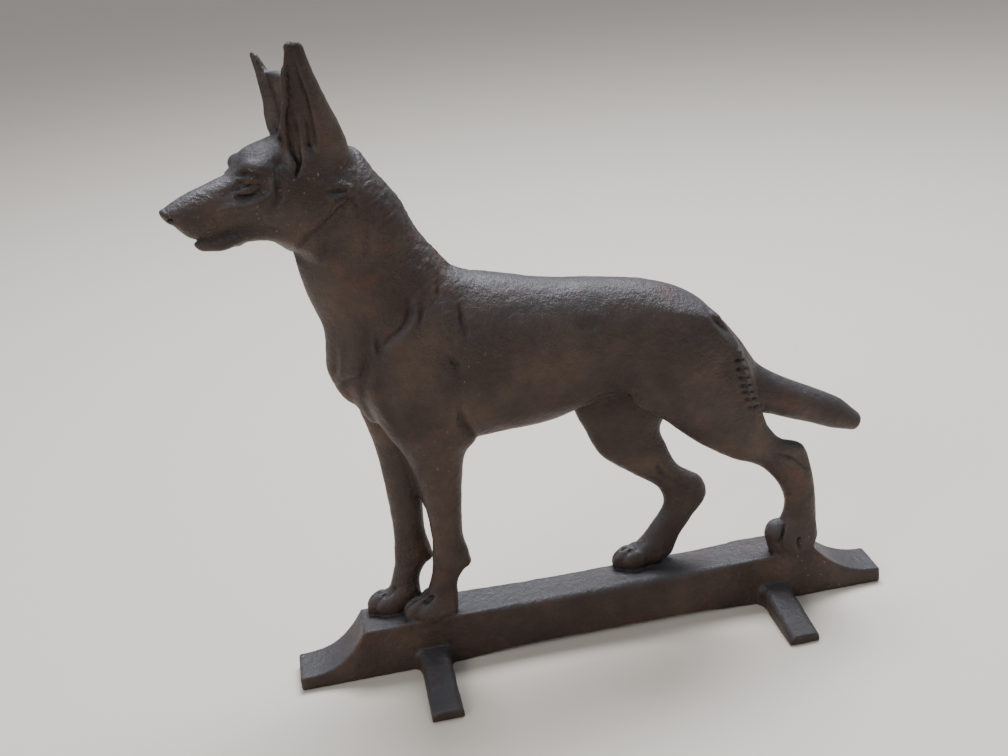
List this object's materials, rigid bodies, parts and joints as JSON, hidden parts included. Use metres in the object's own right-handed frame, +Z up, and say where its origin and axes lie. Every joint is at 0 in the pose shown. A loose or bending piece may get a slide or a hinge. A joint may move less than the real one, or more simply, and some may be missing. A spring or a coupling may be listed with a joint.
{
  "type": "cast iron dog statue",
  "caption": "Cast iron figure of a standing prick-eared shepherd dog, head turned slightly, on a low bar base with cross feet.",
  "frame": {"origin": "centre of the part's bounding box in plan, at the height of the surface it stands on", "axes": "+X along the bar towards the tail, so the dog faces -X; -Y is the flank seen in the picture; +Z up"},
  "size_m": [0.3796, 0.1156, 0.3652],
  "materials": {
    "cast_iron": "as-cast, sand grain, brown-black patina"
  },
  "bodies": {
    "root": {"dog_statue": "cast_iron"}
  },
  "joints": []
}
